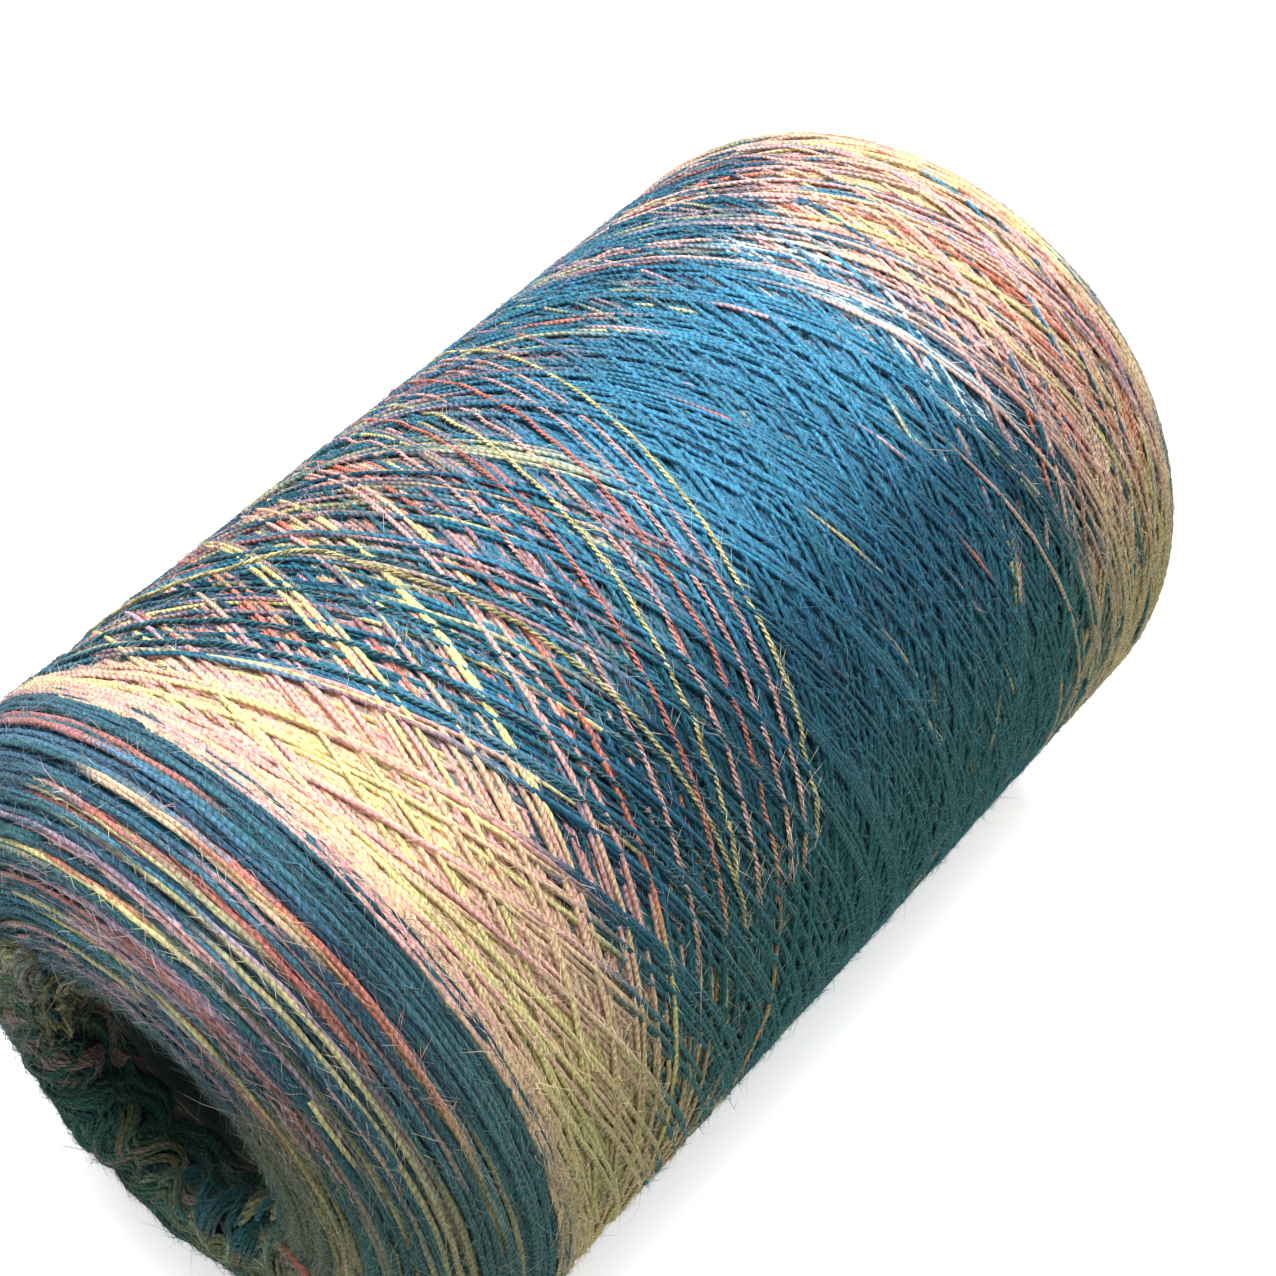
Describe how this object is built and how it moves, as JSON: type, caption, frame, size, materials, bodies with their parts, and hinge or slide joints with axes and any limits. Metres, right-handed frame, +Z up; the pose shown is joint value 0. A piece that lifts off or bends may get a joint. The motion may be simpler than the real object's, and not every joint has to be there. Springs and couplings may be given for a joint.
{
  "type": "yarn package",
  "caption": "Cross-wound cone of fine space-dyed two-ply yarn on a tapered paper core, lying on its side, with a folded mouth and a loose surface pass.",
  "frame": {"origin": "on the resting surface, in the middle of the package's length and width", "axes": "+Z up; +Y along the package from its nose (narrow end) to its base (wide end), the winding's own axis climbing 3.5 degrees from +Y; +X to the right seen from the nose"},
  "size_m": [0.12, 0.1924, 0.1182],
  "materials": {
    "yarn_teal": "fuzzy two-ply yarn, space-dyed, mostly denim blue and teal",
    "yarn_yellow": "fuzzy two-ply yarn, yellow stretch",
    "yarn_pink": "fuzzy two-ply yarn, pink stretch",
    "yarn_salmon": "fuzzy two-ply yarn, salmon stretch",
    "core_paper": "wound kraft paper, matt"
  },
  "bodies": {
    "winding": {"inner_lay": "yarn_teal", "second_lay": "yarn_teal", "third_lay": "yarn_teal", "outer_lay": "yarn_teal", "mouth_folds": "yarn_teal", "outer_pass_01": "yarn_yellow", "outer_pass_02": "yarn_pink", "outer_pass_03": "yarn_pink", "outer_pass_04": "yarn_salmon", "outer_pass_05": "yarn_pink", "outer_pass_06": "yarn_yellow", "outer_pass_07": "yarn_salmon", "outer_pass_08": "yarn_pink", "outer_pass_09": "yarn_teal", "outer_pass_10": "yarn_teal", "outer_pass_11": "yarn_teal", "outer_pass_12": "yarn_teal", "loose_outer_pass": "yarn_yellow"},
    "core": {"core_cone": "core_paper", "start_turns": "yarn_teal"}
  },
  "joints": [
    {"name": "core_slide", "type": "slide", "parent": "winding", "child": "core", "axis": [0, 0.9981, 0.061], "range_m": [0, 0.165]}
  ]
}
